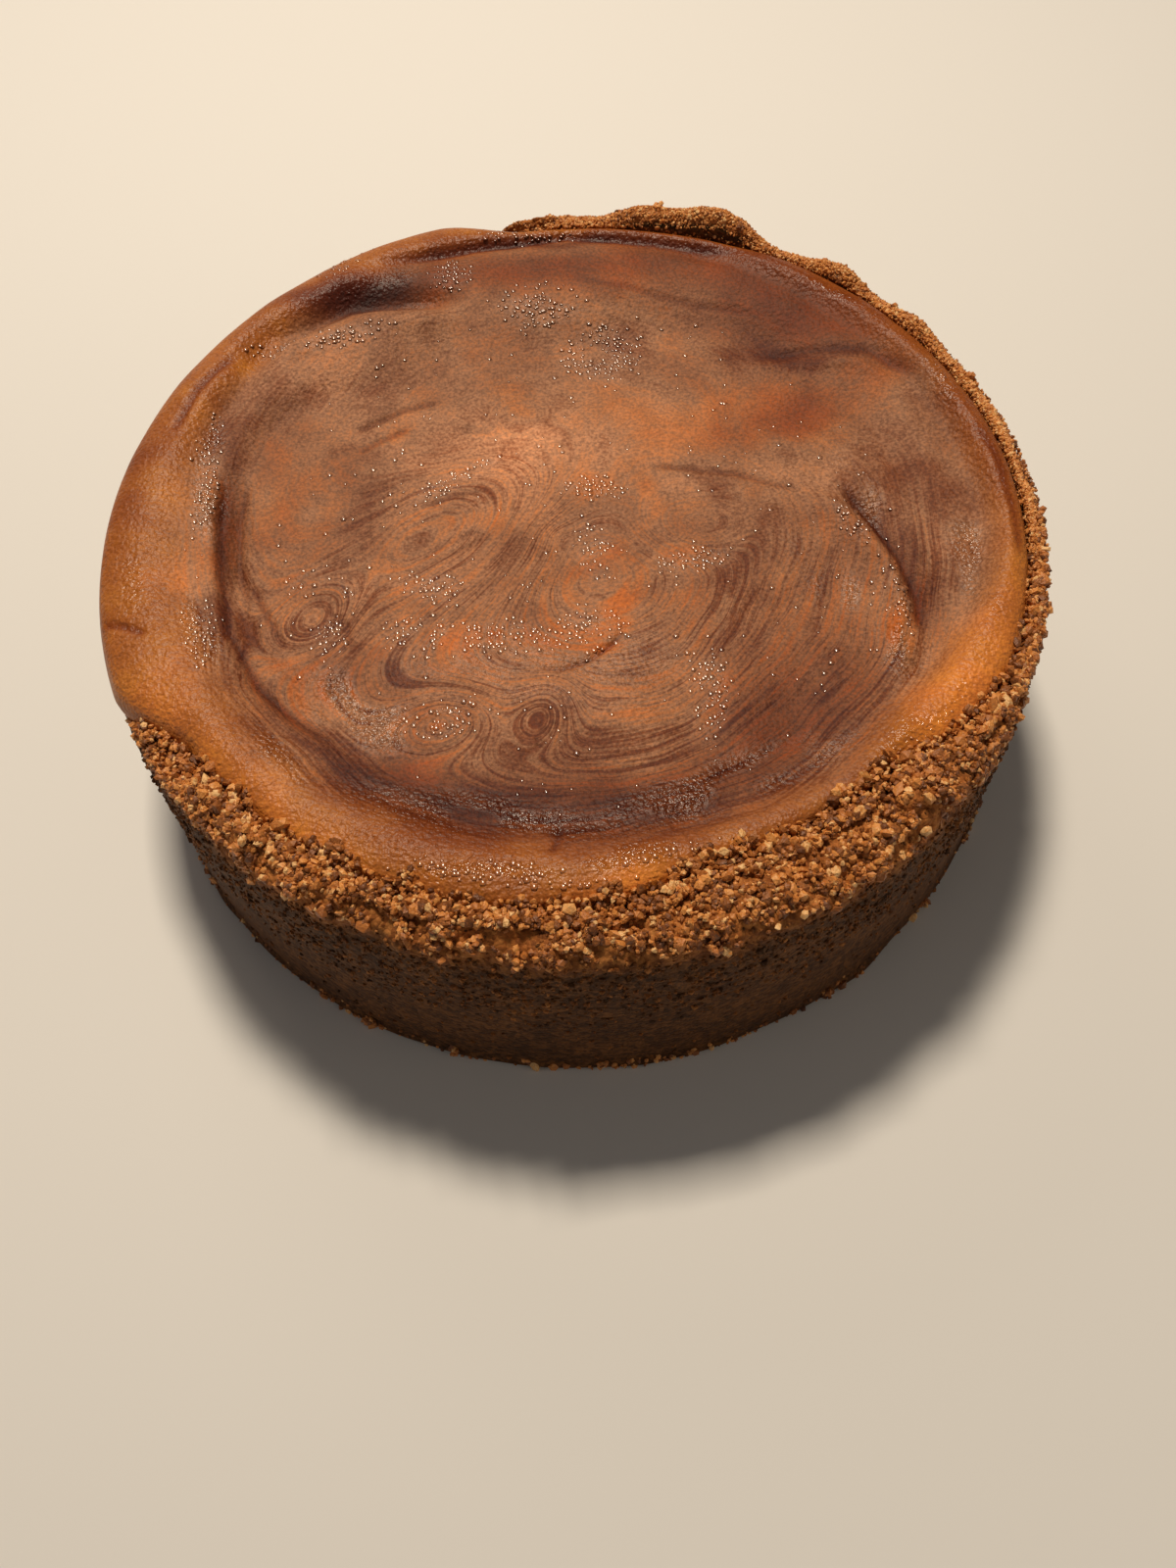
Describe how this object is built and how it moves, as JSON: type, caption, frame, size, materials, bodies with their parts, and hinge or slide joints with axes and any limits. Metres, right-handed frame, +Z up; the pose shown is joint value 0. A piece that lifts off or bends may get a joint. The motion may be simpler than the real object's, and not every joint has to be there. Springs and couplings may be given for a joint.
{
  "type": "cheesecake",
  "caption": "Whole round baked cheesecake: a sunken, marbled top inside a fat rim, in a pressed crumb crust with a broken, craggy edge.",
  "frame": {"origin": "middle of the flat underside, which is the middle of the outline seen from above, at the height the cake rests on", "axes": "+Z up out of the marbled top; -Y towards the viewer, where the crumb wall is thickest; +X to the viewer's right"},
  "size_m": [0.2341, 0.2341, 0.0734],
  "materials": {
    "crumb_crust": "dry pressed biscuit crumbs, matt and grainy",
    "filling": "baked chocolate and caramel batter, moist satin"
  },
  "bodies": {
    "root": {"crumb_crust": "crumb_crust", "filling": "filling"}
  },
  "joints": []
}
